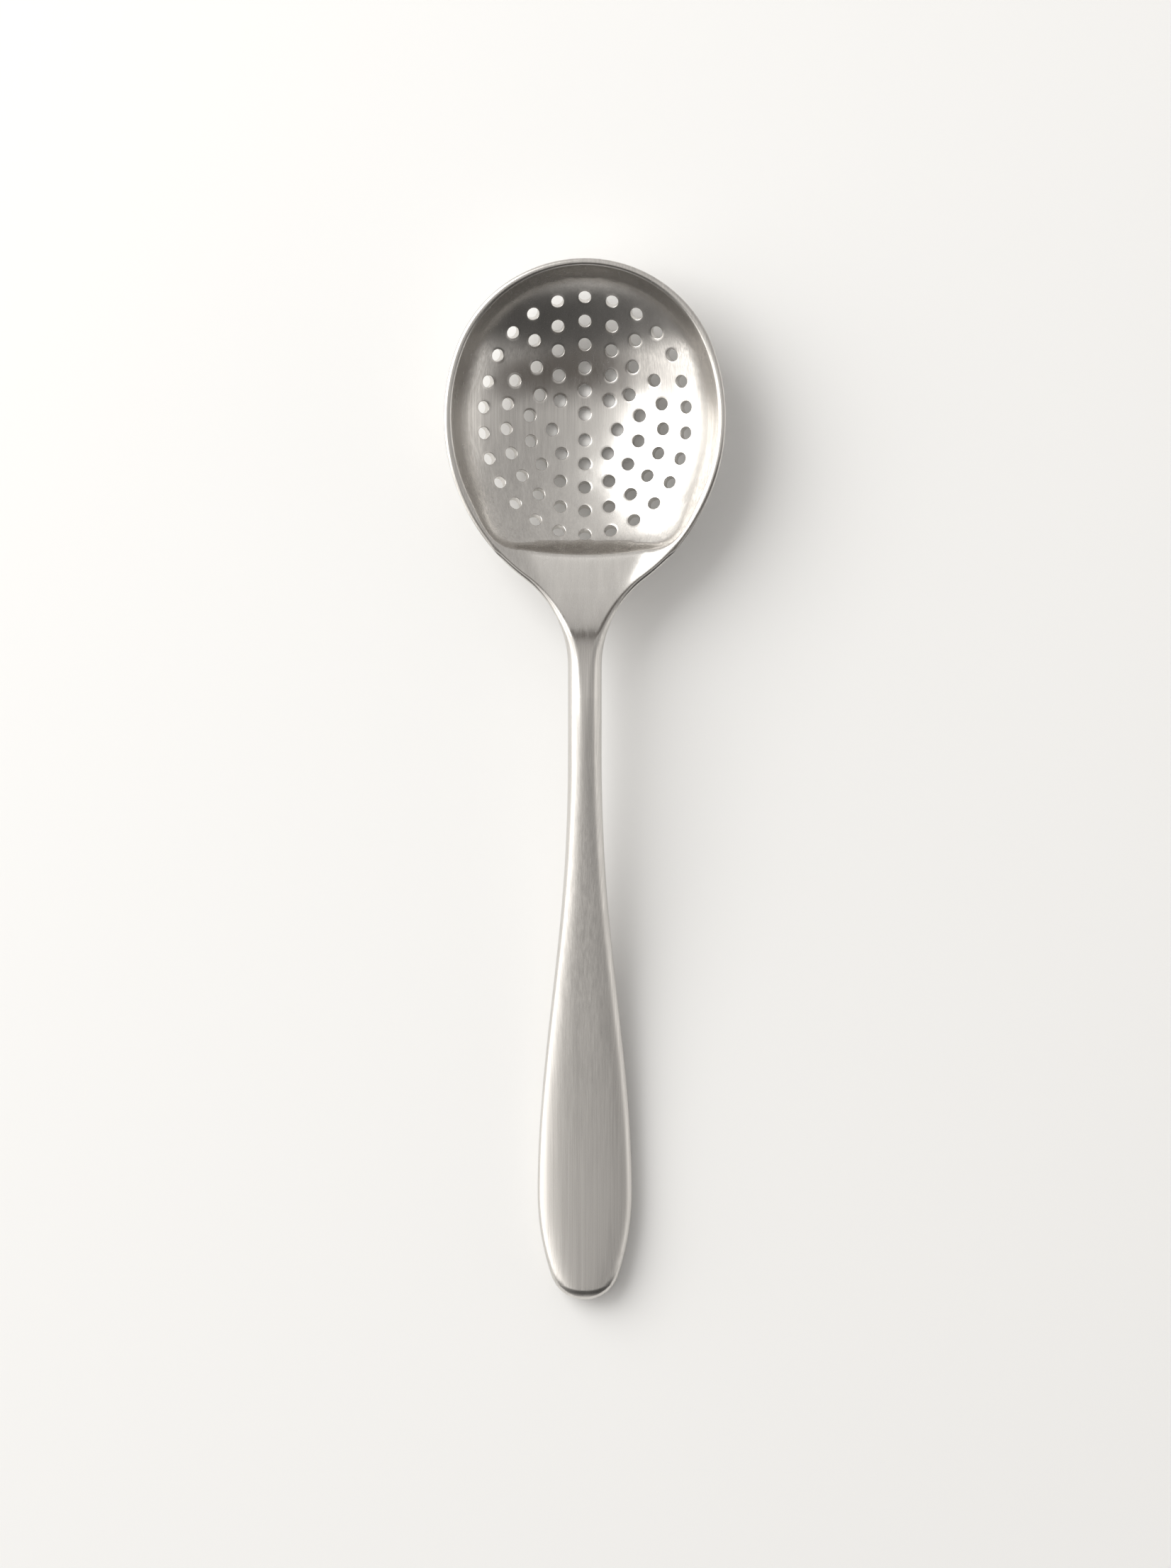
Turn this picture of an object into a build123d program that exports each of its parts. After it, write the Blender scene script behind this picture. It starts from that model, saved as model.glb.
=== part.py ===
from build123d import *
import math
import os

os.makedirs("parts", exist_ok=True)

# A perforated serving spoon in brushed stainless steel, lying face up on a table.
# +Y runs from the handle to the tip of the bowl, +Z is up, and z = 0 is the table.
# The origin is under the middle of the spoon's length. All sizes are millimetres.

overall_length = 250.0

# Bowl seen from above: a tip arc, two side arcs and two hollow neck arcs, all tangent
bowl_width = 67.3
tip_to_widest = 38.0
side_overrun = 10.3        # how far the circles of the side arcs would run past the tip
neck_radius = 26.0

# Bowl in section: a dished floor, a steep wall and a rim ground flat
sheet = 1.8
rim_height = 17.0
wall_angle = 62.0
floor_rise_across = 13.8   # from the middle of the floor to the bowl's full width
floor_rise_along = 12.4    # from the middle of the floor to the tip
floor_centre_from_tip = 36.5
floor_to_wall = 6.0        # radius that joins floor and wall, on the inside
rim_skirt = 0.6            # upright land left on the outside of the rim
rim_round = 0.3            # outer edge of the rim

# Back of the bowl: the crease, and the neck plate behind it
crease_from_tip = 72.7
crease_radius = 100.0      # seen from above, the crease bows towards the handle
crease_corner = 11.0
plate_recess = 1.0         # depth of the plate under the rim at the crease
plate_edge = 2.6           # width of the turned-up slope on each side of the plate
plate_edge_gap = 0.15      # how far inside the bowl's mouth that slope starts
plate_fade = 10.0          # from the crease to where the recess has run out
plate_length = 12.7        # from the crease to where the plate thickens into the stem
ramp_length = 14.0
ramp_shares = (0, 0.15, 0.3, 0.45, 0.6, 0.75, 0.9, 1)

# Drain holes: one in the middle, and mirrored pairs in an upper and a lower fan on each ring
hole_diameter = 3.0
middle_hole_from_tip = 36.0
rim_to_holes = 8.5
crease_to_holes = 7.2
upper_counts = (4, 2, 2, 2, 1)
lower_counts = (8, 7, 4, 2, 0)
upper_pitches = (6.6, 6.6, 6.6, 6.6, 6.6)
lower_pitches = (6.25, 6.0, 6.15, 6.3, 6.3)
upper_margin = 8.85        # from the bowl's widest point to the outer ring's
lower_margin = 9.25
upper_steps = (3.6, 5.45)  # from each ring to the next, across and along
lower_steps = (5.5, 5.8)
upper_fan_from_tip = 38.8
upper_fan_drift = 1.5      # each ring's centre lies this much further from the tip
lower_fan_from_tip = 37.5
lower_fan_drift = 0.7

# Stem and handle
stem_width = 8.06
stem_thickness = 7.5
stem_height = 15.5         # middle of the stem above the table
stem_round = 3.5
stem_straight = 13.0       # from the joint to where the handle starts to widen
paddle_width = 22.8
paddle_end_taper = 2.9     # the end arc's radius is this much under half the width
paddle_end_to_widest = 26.0
wall = 1.0                 # thickness of the two pressed shells
joint_from_tip = 105.0     # where head and handle meet
shank_length = 16.0
shank_clearance = 0.1
# Share of the way down the handle, and share of its widening or of its drop done there
widening = ((0.34, 0.20), (0.64, 0.66))
drop = ((0.35, 0.36), (0.63, 0.79))

# Places that follow from these sizes
tip_y = overall_length / 2
end_y = -overall_length / 2
half_width = bowl_width / 2
belly_y = tip_y - tip_to_widest
side_radius = tip_to_widest + side_overrun
side_x = side_radius - half_width
tip_radius = (side_radius**2 - side_x**2 - tip_to_widest**2) / (2 * side_overrun)
half_stem = stem_width / 2
neck_x = half_stem + neck_radius
neck_y = belly_y - math.sqrt((side_radius + neck_radius) ** 2 - (neck_x + side_x) ** 2)
crease_y = tip_y - crease_from_tip
joint_y = tip_y - joint_from_tip
plate_y = crease_y - plate_length
steep = math.radians(wall_angle)
land = sheet / math.sin(steep) - rim_skirt / math.tan(steep)  # width of the ground rim
plate_height = rim_height - plate_recess

# The floor is part of a barrel: one radius across, and a larger one along the spoon
floor_y = tip_y - floor_centre_from_tip
floor_radius_across = (half_width**2 + floor_rise_across**2) / (2 * floor_rise_across)
floor_radius_along = (floor_centre_from_tip**2 + floor_rise_along**2) / (2 * floor_rise_along)
barrel_axis_height = sheet + floor_radius_across


def towards(start, end, distance):
    return Vector(*start) + (Vector(*end) - Vector(*start)).normalized() * distance


def mirrored(point):
    return Vector(-point.X, point.Y)


# Centres of the outline's arcs on the right-hand side, which are shared by every inset
tip_centre = Vector(0, tip_y - tip_radius)
side_centre = Vector(-side_x, belly_y)
neck_centre = Vector(neck_x, neck_y)
crease_centre = Vector(0, crease_y + crease_radius)
# The corner between side and crease touches both circles from inside
to_crease = crease_centre - side_centre
reach, spread = side_radius - crease_corner, crease_radius - crease_corner
along = (reach**2 - spread**2 + to_crease.length**2) / (2 * to_crease.length)
across = math.sqrt(reach**2 - along**2)
corner_centre = (
    side_centre
    + to_crease.normalized() * along
    + to_crease.normalized().rotate(Axis.Z, -90) * across
)


def mouth_outline(height, inset):
    """Outline of the bowl's mouth at one height, set in from the outer outline."""
    tip = towards(side_centre, tip_centre, side_radius - inset)
    shoulder = towards(side_centre, corner_centre, side_radius - inset)
    heel = towards(crease_centre, corner_centre, crease_radius - inset)
    with BuildSketch(Plane.XY.offset(height)) as outline:
        with BuildLine():
            ThreePointArc(mirrored(tip), (0, tip_y - inset), tip)
            RadiusArc(tip, shoulder, side_radius - inset)
            RadiusArc(shoulder, heel, crease_corner - inset)
            ThreePointArc(heel, (0, crease_y + inset), mirrored(heel))
            RadiusArc(mirrored(heel), mirrored(shoulder), crease_corner - inset)
            RadiusArc(mirrored(shoulder), mirrored(tip), side_radius - inset)
        make_face()
    return outline.sketch.face()


def plate_outline(height, inset):
    """Outline of the neck plate's recess at one height, from inside the bowl to the stem."""
    start = towards(side_centre, corner_centre, side_radius - inset)
    end = towards(side_centre, neck_centre, side_radius - inset)
    foot_x = neck_x - math.sqrt((neck_radius + inset) ** 2 - (plate_y - neck_y) ** 2)
    with BuildSketch(Plane.XY.offset(height)) as outline:
        with BuildLine():
            Polyline((0, crease_y + crease_corner), start)
            RadiusArc(start, end, side_radius - inset)
            RadiusArc(end, (foot_x, plate_y), -(neck_radius + inset))
            Polyline((foot_x, plate_y), (0, plate_y), (0, crease_y + crease_corner))
        make_face()
        mirror(about=Plane.YZ)
    return outline.sketch.face()


def dish(inset, thickness):
    """Solid of the bowl: the mouth drawn down by sloping walls to a dished floor."""
    foot_inset = inset + rim_height / math.tan(steep)
    radius = floor_radius_along + thickness
    with BuildPart() as solid:
        loft([mouth_outline(rim_height, inset), mouth_outline(0, foot_inset)], ruled=True)
        with BuildSketch(Plane.YZ, mode=Mode.PRIVATE) as barrel:
            with Locations((floor_y, sheet + floor_radius_along)):
                Circle(radius)
            with Locations((floor_y, barrel_axis_height)):
                above = (Align.CENTER, Align.MIN)
                Rectangle(3 * radius, 3 * radius, align=above, mode=Mode.SUBTRACT)
        barrel_axis = Axis((0, floor_y, barrel_axis_height), (0, 1, 0))
        revolve(barrel.sketch, barrel_axis, mode=Mode.INTERSECT)
        floor = solid.faces().filter_by(GeomType.REVOLUTION)
        fillet(floor.edges(), floor_to_wall + thickness)
    return solid.part


def floor_frame(x, y):
    """Plane that lies in the bowl's floor under one point, facing up."""
    rise = math.sqrt(floor_radius_along**2 - (y - floor_y) ** 2)
    around = floor_radius_across - floor_radius_along + rise
    drop_to_floor = math.sqrt(around**2 - x**2)
    slope_across = x / drop_to_floor
    slope_along = (y - floor_y) / rise * around / drop_to_floor
    height = barrel_axis_height - drop_to_floor
    return Plane(origin=(x, y, height), z_dir=(-slope_across, -slope_along, 1))


def quarter_fan(across, along, pitch, count):
    """Points at even distances along a quarter ellipse, starting on the Y axis."""
    points, walked, angle, step = [], 0.0, 0.0, 0.002
    while len(points) < count:
        walked += step * math.hypot(across * math.cos(angle), along * math.sin(angle))
        angle += step
        if walked >= pitch * (len(points) + 1):
            points.append((across * math.sin(angle), along * math.cos(angle)))
    return points


def fan_rings(upward, first_y, centre_from_tip, drift, margin, steps, pitches, counts):
    """Hole centres of one fan, ring by ring. upward is 1 towards the tip, -1 to the crease."""
    places = []
    for ring, (pitch, count) in enumerate(zip(pitches, counts)):
        centre = tip_y - centre_from_tip - drift * ring
        start = first_y - upward * steps[1] * ring
        across = half_width - margin - steps[0] * ring
        places.append((0, start))
        for x, y in quarter_fan(across, abs(start - centre), pitch, count):
            places += [(x, centre + upward * y), (-x, centre + upward * y)]
    return places


def hole_places():
    """Centres of all drain holes in the XY plane."""
    middle = [(0, tip_y - middle_hole_from_tip)]
    upper = fan_rings(
        1, tip_y - rim_to_holes, upper_fan_from_tip, upper_fan_drift,
        upper_margin, upper_steps, upper_pitches, upper_counts,
    )
    lower = fan_rings(
        -1, crease_y + crease_to_holes, lower_fan_from_tip, lower_fan_drift,
        lower_margin, lower_steps, lower_pitches, lower_counts,
    )
    return middle + upper + lower


def neck_side(y):
    """Half width of the head's outline along the neck arc and the stem."""
    return neck_x - math.sqrt(neck_radius**2 - max(y - neck_y, 0) ** 2)


def handle_line(shift):
    """Points of the handle's line seen from the side, from the joint to the paddle."""
    start = Vector(joint_y, stem_height)
    end = Vector(end_y + paddle_end_to_widest, stem_thickness / 2)
    points = []
    for way, lower in ((0, 0), *drop, (1, 1)):
        y = start.X + (end.X - start.X) * way
        z = start.Y + (end.Y - start.Y) * lower
        points.append((y, z + shift))
    return points


def flare_line(inset):
    """Points of the handle's right-hand edge seen from above, from the stem to the paddle."""
    start = Vector(half_stem - inset, joint_y - stem_straight)
    end = Vector(paddle_width / 2 - inset, end_y + paddle_end_to_widest)
    points = []
    for way, wider in ((0, 0), *widening, (1, 1)):
        points.append((start.X + (end.X - start.X) * wider, start.Y + (end.Y - start.Y) * way))
    return points


def blank(inset):
    """Solid of stem and handle, or of a space inside it that keeps the same distance all round."""
    half_paddle = paddle_width / 2
    end_radius = half_paddle - paddle_end_taper
    end_to_centre = paddle_end_to_widest - end_radius
    flank_radius = (half_paddle**2 + end_to_centre**2 - end_radius**2) / (2 * paddle_end_taper)
    flank_centre = Vector(half_paddle - flank_radius, end_y + paddle_end_to_widest)
    end_centre = Vector(0, end_y + end_radius)
    level = stem_thickness / 2
    start_y = joint_y + stem_thickness
    with BuildPart() as solid:
        with BuildSketch() as plan:
            with BuildLine():
                flare = flare_line(inset)
                Polyline((0, start_y), (half_stem - inset, start_y), flare[0])
                Spline(*flare, tangents=[(0, -1), (0, -1)])
                turn = towards(flank_centre, end_centre, flank_radius - inset)
                RadiusArc(flare[-1], turn, flank_radius - inset)
                RadiusArc(turn, (0, end_y + inset), end_radius - inset)
                Line((0, end_y + inset), (0, start_y))
            make_face()
            mirror(about=Plane.YZ)
        extrude(amount=2 * stem_height)
        with BuildSketch(Plane.YZ):
            with BuildLine():
                for side in (-1, 1):
                    shift = side * (level - inset)
                    path = handle_line(shift)
                    Line((start_y, stem_height + shift), path[0])
                    Spline(*path, tangents=[(-1, 0), (-1, 0)])
                    Line(path[-1], (end_y, level + shift))
                for y, z in ((start_y, stem_height), (end_y, level)):
                    Line((y, z - level + inset), (y, z + level - inset))
            make_face()
        extrude(amount=paddle_width, both=True, mode=Mode.INTERSECT)
        level_edges = solid.edges().filter_by(Axis.Z, reverse=True)
        fillet(level_edges.filter_by_position(Axis.Y, end_y, joint_y), stem_round - inset)
    return solid.part


# Outline of the head seen from above, down to the stem, with the rim's outer edge rounded
with BuildPart() as head_prism:
    with BuildSketch():
        with BuildLine():
            tip_end = towards(side_centre, tip_centre, side_radius)
            neck_start = towards(side_centre, neck_centre, side_radius)
            ThreePointArc(mirrored(tip_end), (0, tip_y), tip_end)
            RadiusArc(tip_end, neck_start, side_radius)
            RadiusArc(neck_start, (half_stem, neck_y), -neck_radius)
            Line((half_stem, neck_y), (-half_stem, neck_y))
            RadiusArc((-half_stem, neck_y), mirrored(neck_start), -neck_radius)
            RadiusArc(mirrored(neck_start), mirrored(tip_end), side_radius)
        make_face()
    extrude(amount=rim_height)
    top_edges = head_prism.faces().sort_by(Axis.Z)[-1].edges()
    fillet(top_edges.filter_by(GeomType.CIRCLE), rim_round)

# Shallow recess of the neck plate, between two turned-up edges that fade out towards the stem
with BuildPart() as recess:
    slope_start = land + plate_edge_gap
    loft(
        [
            plate_outline(plate_height, slope_start + plate_edge),
            plate_outline(rim_height + plate_recess, slope_start - plate_edge),
        ],
        ruled=True,
    )
    rising_plane = Plane(origin=(0, crease_y, plate_height), z_dir=(0, plate_recess, plate_fade))
    split(bisect_by=rising_plane, keep=Keep.TOP)

with BuildPart() as perforated_head:
    add(dish(land - sheet / math.sin(steep), sheet))
    with BuildSketch(Plane.XY.offset(rim_height - sheet)):
        with Locations((0, plate_y)):
            behind = (Align.CENTER, Align.MIN)
            Rectangle(bowl_width, plate_length + crease_corner, align=behind)
    extrude(amount=sheet)
    add(head_prism.part, mode=Mode.INTERSECT)
    add(dish(land, 0), mode=Mode.SUBTRACT)
    add(recess.part, mode=Mode.SUBTRACT)
    with Locations(*[floor_frame(x, y) for x, y in hole_places()]):
        Cylinder(hole_diameter / 2, 3 * sheet, mode=Mode.SUBTRACT)
    # The plate thickens into the round stem
    for share in ramp_shares:
        eased = share * share * (3 - 2 * share)
        y = plate_y - ramp_length * share
        thickness = sheet + (stem_thickness - sheet) * eased
        middle = rim_height - sheet / 2 + (stem_height - rim_height + sheet / 2) * eased
        with BuildSketch(Plane.XZ.offset(-y)):
            with Locations((0, middle)):
                corner = stem_round * thickness / stem_thickness
                RectangleRounded(2 * neck_side(y), thickness, corner)
    loft()
    # Round stem down to the joint, and the shank that plugs into the handle
    for inset, start, end in (
        (0, plate_y - ramp_length, joint_y),
        (wall + shank_clearance, joint_y, joint_y - shank_length),
    ):
        with BuildPart(mode=Mode.PRIVATE) as length_of_stem:
            add(blank(inset))
            with BuildSketch(Plane.XZ.offset(-start)):
                Rectangle(paddle_width, 4 * stem_height)
            extrude(amount=start - end, mode=Mode.INTERSECT)
        add(length_of_stem.part)

# The two pressed shells of the handle meet at half height
handle = blank(0)
hollow = blank(wall)
with BuildPart() as lower_half:
    with BuildSketch(Plane.YZ):
        with BuildLine():
            seam = handle_line(0)
            Spline(*seam, tangents=[(-1, 0), (-1, 0)])
            beyond = end_y - wall
            Polyline(seam[-1], (beyond, seam[-1][1]), (beyond, -wall), (joint_y, -wall), seam[0])
        make_face()
    extrude(amount=paddle_width, both=True)

with BuildPart() as handle_lower_shell:
    add(handle)
    add(hollow, mode=Mode.SUBTRACT)
    add(lower_half.part, mode=Mode.INTERSECT)

with BuildPart() as handle_upper_shell:
    add(handle)
    split(bisect_by=Plane.XZ.offset(-joint_y), keep=Keep.TOP)
    add(hollow, mode=Mode.SUBTRACT)
    add(lower_half.part, mode=Mode.SUBTRACT)

perforated_head.part.label = "perforated_head"
handle_upper_shell.part.label = "handle_upper_shell"
handle_lower_shell.part.label = "handle_lower_shell"
export_step(perforated_head.part, "parts/perforated_head.step")
export_step(handle_upper_shell.part, "parts/handle_upper_shell.step")
export_step(handle_lower_shell.part, "parts/handle_lower_shell.step")
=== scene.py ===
import math

import bmesh
import bpy
import numpy as np
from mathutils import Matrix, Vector
from mathutils.geometry import delaunay_2d_cdt


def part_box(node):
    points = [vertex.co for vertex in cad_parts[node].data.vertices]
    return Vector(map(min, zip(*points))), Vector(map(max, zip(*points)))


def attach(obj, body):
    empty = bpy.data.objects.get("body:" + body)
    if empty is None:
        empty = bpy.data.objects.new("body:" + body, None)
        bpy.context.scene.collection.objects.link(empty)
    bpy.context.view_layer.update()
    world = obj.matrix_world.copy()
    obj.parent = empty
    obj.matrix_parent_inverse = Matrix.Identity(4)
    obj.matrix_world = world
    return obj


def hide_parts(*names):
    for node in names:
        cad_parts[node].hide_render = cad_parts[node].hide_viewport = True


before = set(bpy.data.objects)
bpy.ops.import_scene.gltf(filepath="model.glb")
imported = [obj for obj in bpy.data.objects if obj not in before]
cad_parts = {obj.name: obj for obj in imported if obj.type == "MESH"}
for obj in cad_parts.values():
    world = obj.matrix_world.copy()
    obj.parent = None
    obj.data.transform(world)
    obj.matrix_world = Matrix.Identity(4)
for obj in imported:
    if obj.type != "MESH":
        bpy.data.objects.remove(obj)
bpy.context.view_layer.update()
print("frame loaded")

mm = 0.001  # the camera's and the spoon's sizes are millimetres, and the scene is in metres

camera = {
    "viewHeight": 374.6,  # what the picture's height shows at the focus height
    "focusHeight": 15.0,
    "centreX": 0.17,
    "centreY": -0.5,
    "lens": 100.0,
    "sensor": 36.0,
    "nearest": 10.0,
    "farthest": 20000.0,
}


def addCamera():
    data = bpy.data.cameras.new("camera")
    data.lens = camera["lens"]
    data.sensor_fit = "VERTICAL"
    data.sensor_height = camera["sensor"]
    data.clip_start = camera["nearest"] * mm
    data.clip_end = camera["farthest"] * mm
    distance = camera["viewHeight"] * camera["lens"] / camera["sensor"]
    viewer = bpy.data.objects.new("camera", data)
    height = distance + camera["focusHeight"]
    viewer.location = Vector((camera["centreX"], camera["centreY"], height)) * mm
    bpy.context.scene.collection.objects.link(viewer)
    bpy.context.scene.camera = viewer


addCamera()
bpy.context.scene.view_settings.view_transform = "Standard"
print("camera in place")

# The tip lies at the top of the picture, towards Y, and the handle's end at the bottom
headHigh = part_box("perforated_head")[1] / mm
handleLow, handleHigh = (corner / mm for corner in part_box("handle_lower_shell"))
tipY, endY = headHigh.y, handleLow.y
halfBowl, halfPaddle = headHigh.x, handleHigh.x
jointY = handleHigh.y  # where the head's stem meets the handle

outline = {
    "tipToWidest": 38.0,
    "sideOverrun": 10.3,  # how far the side arcs' circles would run past the tip
    "neckRadius": 26.0,
    "halfStem": 4.03,
    "creaseFromTip": 72.7,
    "creaseRadius": 100.0,
    "creaseCorner": 11.0,
}


def cross(ax, ay, bx, by):
    return ax * by - ay * bx


tipToWidest, overrun = outline["tipToWidest"], outline["sideOverrun"]
neckRadius, cornerRadius = outline["neckRadius"], outline["creaseCorner"]
creaseRadius = outline["creaseRadius"]
bellyY = tipY - tipToWidest
sideRadius = tipToWidest + overrun
sideX = sideRadius - halfBowl
tipRadius = (sideRadius**2 - sideX**2 - tipToWidest**2) / (2 * overrun)
neckX = outline["halfStem"] + neckRadius
neckY = bellyY - math.sqrt((sideRadius + neckRadius) ** 2 - (neckX + sideX) ** 2)
creaseY = tipY - outline["creaseFromTip"]
tipCentre = Vector((0, tipY - tipRadius))
sideCentre = Vector((-sideX, bellyY))
neckCentre = Vector((neckX, neckY))
creaseCentre = Vector((0, creaseY + creaseRadius))


def touchingCentre(first, firstReach, second, secondReach):
    # Right-hand point at firstReach from first and secondReach from second
    line = second - first
    along = (firstReach**2 - secondReach**2 + line.length_squared) / (2 * line.length)
    across = math.sqrt(firstReach**2 - along**2)
    unit = line.normalized()
    return first + unit * along + Vector((unit.y, -unit.x)) * across


cornerCentre = touchingCentre(
    sideCentre, sideRadius - cornerRadius,
    creaseCentre, creaseRadius - cornerRadius,
)


def sectorSide(origin, towards, x, y):
    # Above 0 where a point lies to the left of the line from origin to towards
    return cross(towards.x - origin.x, towards.y - origin.y, x - origin.x, y - origin.y)


def fromCircle(centre, radius, x, y):
    # How far a point lies inside a circle
    return radius - np.hypot(x - centre.x, y - centre.y)


def edgeDistance(x, y):
    # How far a point lies inside the outline seen from above
    x = np.abs(x)
    tip = fromCircle(tipCentre, tipRadius, x, y)
    side = fromCircle(sideCentre, sideRadius, x, y)
    neck = -fromCircle(neckCentre, neckRadius, x, y)
    nearTip = sectorSide(sideCentre, tipCentre, x, y) > 0
    nearNeck = sectorSide(sideCentre, neckCentre, x, y) < 0
    return np.where(nearTip, tip, np.where(nearNeck, neck, side))


def mouthDistance(x, y):
    # The same for the bowl's mouth, which ends at the crease
    x = np.abs(x)
    tip = fromCircle(tipCentre, tipRadius, x, y)
    side = fromCircle(sideCentre, sideRadius, x, y)
    corner = fromCircle(cornerCentre, cornerRadius, x, y)
    crease = fromCircle(creaseCentre, creaseRadius, x, y)
    nearTip = sectorSide(sideCentre, tipCentre, x, y) > 0
    pastSide = sectorSide(sideCentre, cornerCentre, x, y) < 0
    pastCorner = sectorSide(creaseCentre, cornerCentre, x, y) < 0
    back = np.where(pastCorner, crease, corner)
    return np.where(nearTip, tip, np.where(pastSide, back, side))


def softMax(a, b, blend):
    # The larger of two heights, rounded where they cross
    return (a + b + np.hypot(a - b, blend)) / 2


def softMin(a, b, blend):
    return (a + b - np.hypot(a - b, blend)) / 2


def smoothStep(low, high, value):
    # 0 at low and 1 at high, also where low is the larger of the two
    share = np.clip((value - low) / (high - low), 0, 1)
    return share * share * (3 - 2 * share)


sheet = {
    "thickness": 1.8,
    "rimHeight": 17.0,
    "rimSkirt": 1.5,  # height of the rim's outer face
    "rimLand": 1.2,  # flat width of the rim
    "rimRound": 0.95,  # width over which its outer edge is rounded
    "rimBlend": 0.3,  # the larger a blend is, the rounder two faces run into each other
    "wallAngle": 62.0,
    "innerBlend": 2.8,  # between the floor and the wall, inside and outside the bowl
    "outerBlend": 2.0,
    "floorCentreFromTip": 36.5,
    "floorRiseAcross": 13.8,  # how far the floor's curves would rise to the sides and to the tip
    "floorRiseAlong": 12.4,
    "backRadius": 64.0,  # the floor bends less towards the crease than towards the tip
    "heelBlend": 0.9,  # takes the place of the inner blend beside the crease
    "heelFade": (16.0, 6.0),  # distances from the crease between which it does
    "creaseBlend": 0.7,  # takes the place of the rim's blend away from the outline
    "creaseFade": (2.0, 6.0),  # distances from the outline between which it does
    "plateRecess": 1.0,
    "plateRise": 0.17,  # slope of the plate towards the stem
    "plateEndY": 35.1,  # where that slope ends
    "plateEndBlend": 0.15,
    "plateEdge": 2.6,  # width of the turned-up edges beside the neck plate
    "plateEdgeBlend": 0.35,
    "plateTopBlend": 0.2,  # where they reach the rim's height
    "underBlend": 1.0,  # between the bowl's and the plate's under faces
    "underLift": 4.0,  # lifts the plate's under face beside the bowl, where the wall's outer face counts
    "underLiftWidth": 0.8,
}
steep = math.radians(sheet["wallAngle"])
outerLand = -sheet["rimSkirt"] / math.tan(steep)
floorFromTip = sheet["floorCentreFromTip"]
riseAcross, riseAlong = sheet["floorRiseAcross"], sheet["floorRiseAlong"]
floorY = tipY - floorFromTip
radiusAcross = (halfBowl**2 + riseAcross**2) / (2 * riseAcross)
radiusAlong = (floorFromTip**2 + riseAlong**2) / (2 * riseAlong)

stem = {
    "height": 15.5,  # of the middle of its section
    "thickness": 7.5,
    "stepDown": 0.02,  # how far its top ends under the handle's
    "rampStartY": 39.6,  # here the under face leaves the sheet's height
    "rampEndY": 25.6,  # and here it reaches the stem's
    "narrowEdgeY": 55.0,  # from here down the neck the edges grow rounder
    "roundY": 10.0,  # and here they have become a round section
    "wall": 1.0,
    "clearance": 0.1,
    "shank": 16.0,
}


def floorHeight(x, y, deeper):
    # Part of a barrel, lower by the distance deeper measured square to it
    radius = np.where(y < floorY, sheet["backRadius"], radiusAlong)
    around = radiusAcross - radius + np.sqrt((radius + deeper) ** 2 - (y - floorY) ** 2)
    squared = np.maximum(around**2 - x**2, 1)  # stays above 0 beside the barrel too
    return sheet["thickness"] + radiusAcross - np.sqrt(squared)


def wallHeight(mouth, inset):
    # A leaning wall that reaches the rim's height at inset
    return sheet["rimHeight"] + math.tan(steep) * (inset - mouth)


def plateLine(y):
    # Height of the plate along its middle, which rises from the crease to the stem
    sunk = sheet["rimHeight"] - sheet["plateRecess"]
    rise, bendY = sheet["plateRise"], sheet["plateEndY"]
    bendHeight = sunk + rise * (creaseY - bendY)
    stemTop = stem["height"] + stem["thickness"] / 2 - stem["stepDown"]
    stemRise = (stemTop - bendHeight) / (bendY - jointY)
    plate = sunk + rise * (creaseY - y)
    return softMin(plate, bendHeight + stemRise * (bendY - y), sheet["plateEndBlend"])


def plateHeight(x, y):
    # Upper face of the neck plate, with its turned-up edges
    rim, recess = sheet["rimHeight"], sheet["plateRecess"]
    sunk = rim - recess
    share = 1 - (edgeDistance(x, y) - sheet["rimLand"]) / sheet["plateEdge"]
    edge = softMin(sunk + recess * share, rim, sheet["plateTopBlend"])
    return softMax(plateLine(y), edge, sheet["plateEdgeBlend"])


def topHeight(x, y):
    # Upper face of the whole head: the bowl's inside, its rim and the plate
    mouth = mouthDistance(x, y)
    heelStart, heelEnd = sheet["heelFade"]
    heel = smoothStep(creaseY + heelStart, creaseY + heelEnd, y)
    rounding = sheet["innerBlend"] + (sheet["heelBlend"] - sheet["innerBlend"]) * heel
    inside = softMax(wallHeight(mouth, sheet["rimLand"]), floorHeight(x, y, 0), rounding)
    middle = smoothStep(*sheet["creaseFade"], edgeDistance(x, y))
    blend = sheet["rimBlend"] + (sheet["creaseBlend"] - sheet["rimBlend"]) * middle
    return softMin(inside, plateHeight(x, y), blend)


def underHeight(x, y):
    # Under face of the same, one thickness further down
    mouth, edge = mouthDistance(x, y), edgeDistance(x, y)
    thick = sheet["thickness"]
    wall = wallHeight(mouth, outerLand)
    outside = softMax(wall, floorHeight(x, y, thick), sheet["outerBlend"])
    lift = sheet["underLift"] * np.exp(-((edge - mouth) / sheet["underLiftWidth"]) ** 2)
    plate = softMin(plateHeight(x, y), sheet["rimHeight"], sheet["plateTopBlend"]) - thick
    return softMin(outside, plate + lift, sheet["underBlend"])


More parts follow.
